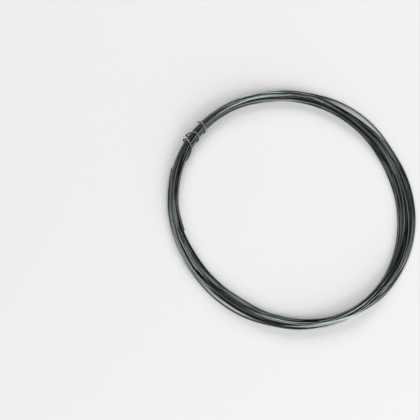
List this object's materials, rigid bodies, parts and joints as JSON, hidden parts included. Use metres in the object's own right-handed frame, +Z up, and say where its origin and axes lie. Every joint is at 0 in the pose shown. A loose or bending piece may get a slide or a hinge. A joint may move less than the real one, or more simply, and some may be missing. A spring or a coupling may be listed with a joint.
{
  "type": "coil of aluminium wire",
  "caption": "Loose oval coil of thin dark aluminium wire, lying flat, bound by the wire's own tail wound round the bundle.",
  "frame": {"origin": "middle of the box that the coil fills, on the floor that it lies on", "axes": "+X along the oval's longer axis, away from the binding; +Z up, through the bore"},
  "size_m": [0.1962, 0.181, 0.0089],
  "materials": {
    "wire": "dark anodised, glossy, with fine streaks along the wire"
  },
  "bodies": {
    "root": {"wire_coil": "wire"}
  },
  "joints": []
}
